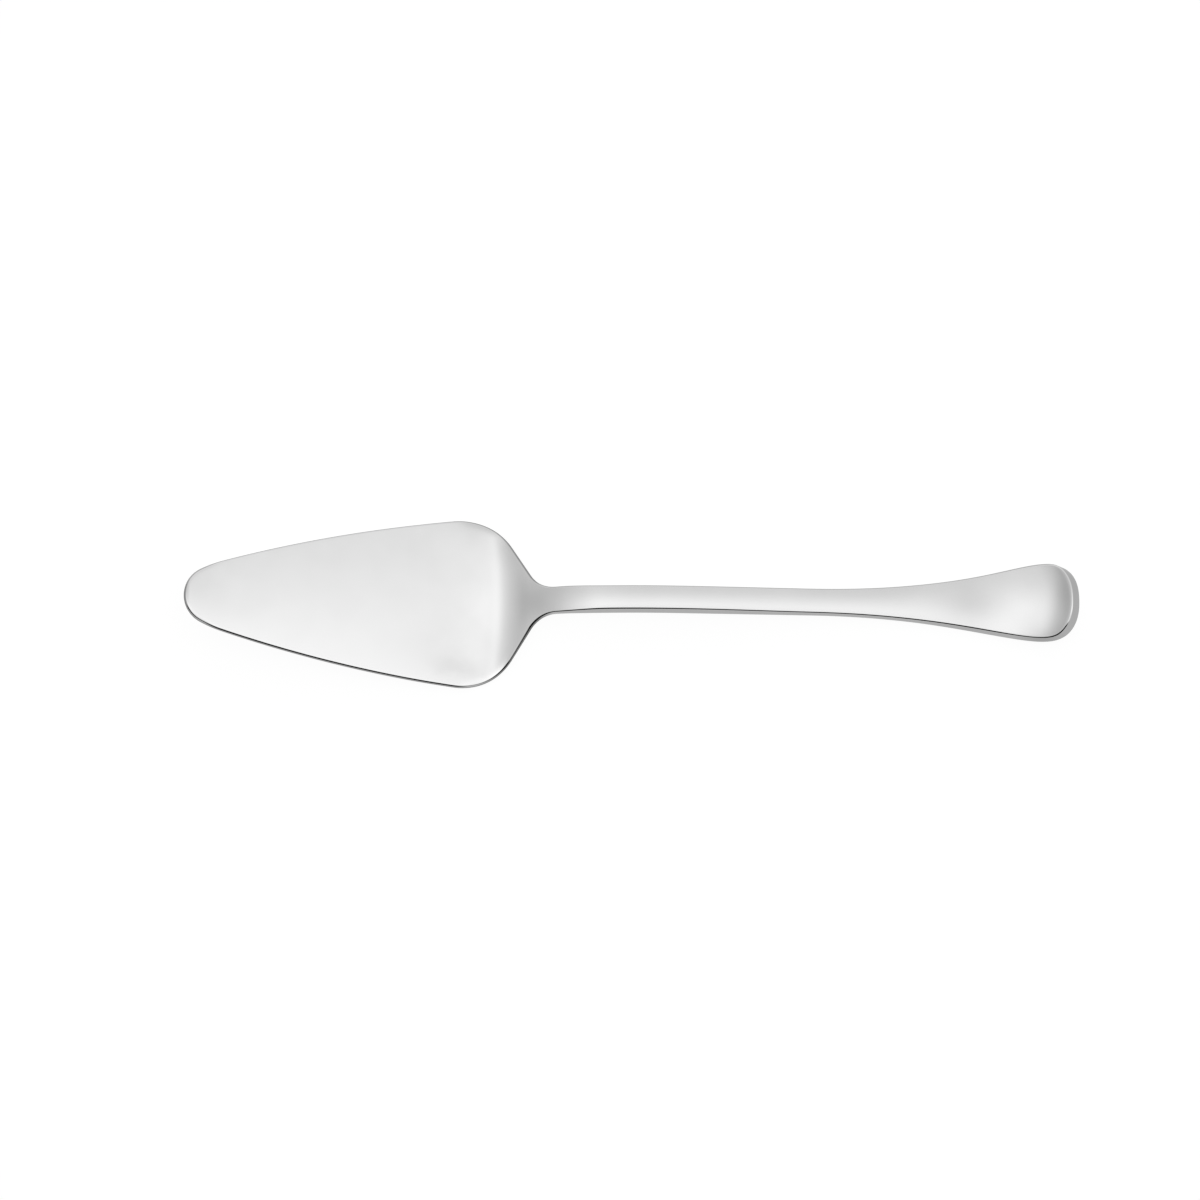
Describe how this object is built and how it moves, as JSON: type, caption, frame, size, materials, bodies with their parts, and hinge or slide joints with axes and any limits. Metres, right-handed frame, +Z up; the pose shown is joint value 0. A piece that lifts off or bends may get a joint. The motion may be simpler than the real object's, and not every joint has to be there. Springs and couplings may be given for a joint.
{
  "type": "cake server",
  "caption": "Polished steel cake server: flat leaf-shaped blade, cranked neck, slim arched stem and drop-shaped grip with a turned-up end, for cutting and lifting slices.",
  "frame": {"origin": "middle of the footprint on the table the server lies on", "axes": "+Z up from the table, -X towards the tip of the blade, +X towards the end of the grip, +Y across"},
  "size_m": [0.248, 0.0476, 0.0144],
  "materials": {
    "polished_steel": "mirror-polished stainless steel"
  },
  "bodies": {
    "root": {"blade": "polished_steel", "neck": "polished_steel", "stem": "polished_steel", "grip": "polished_steel"}
  },
  "joints": []
}
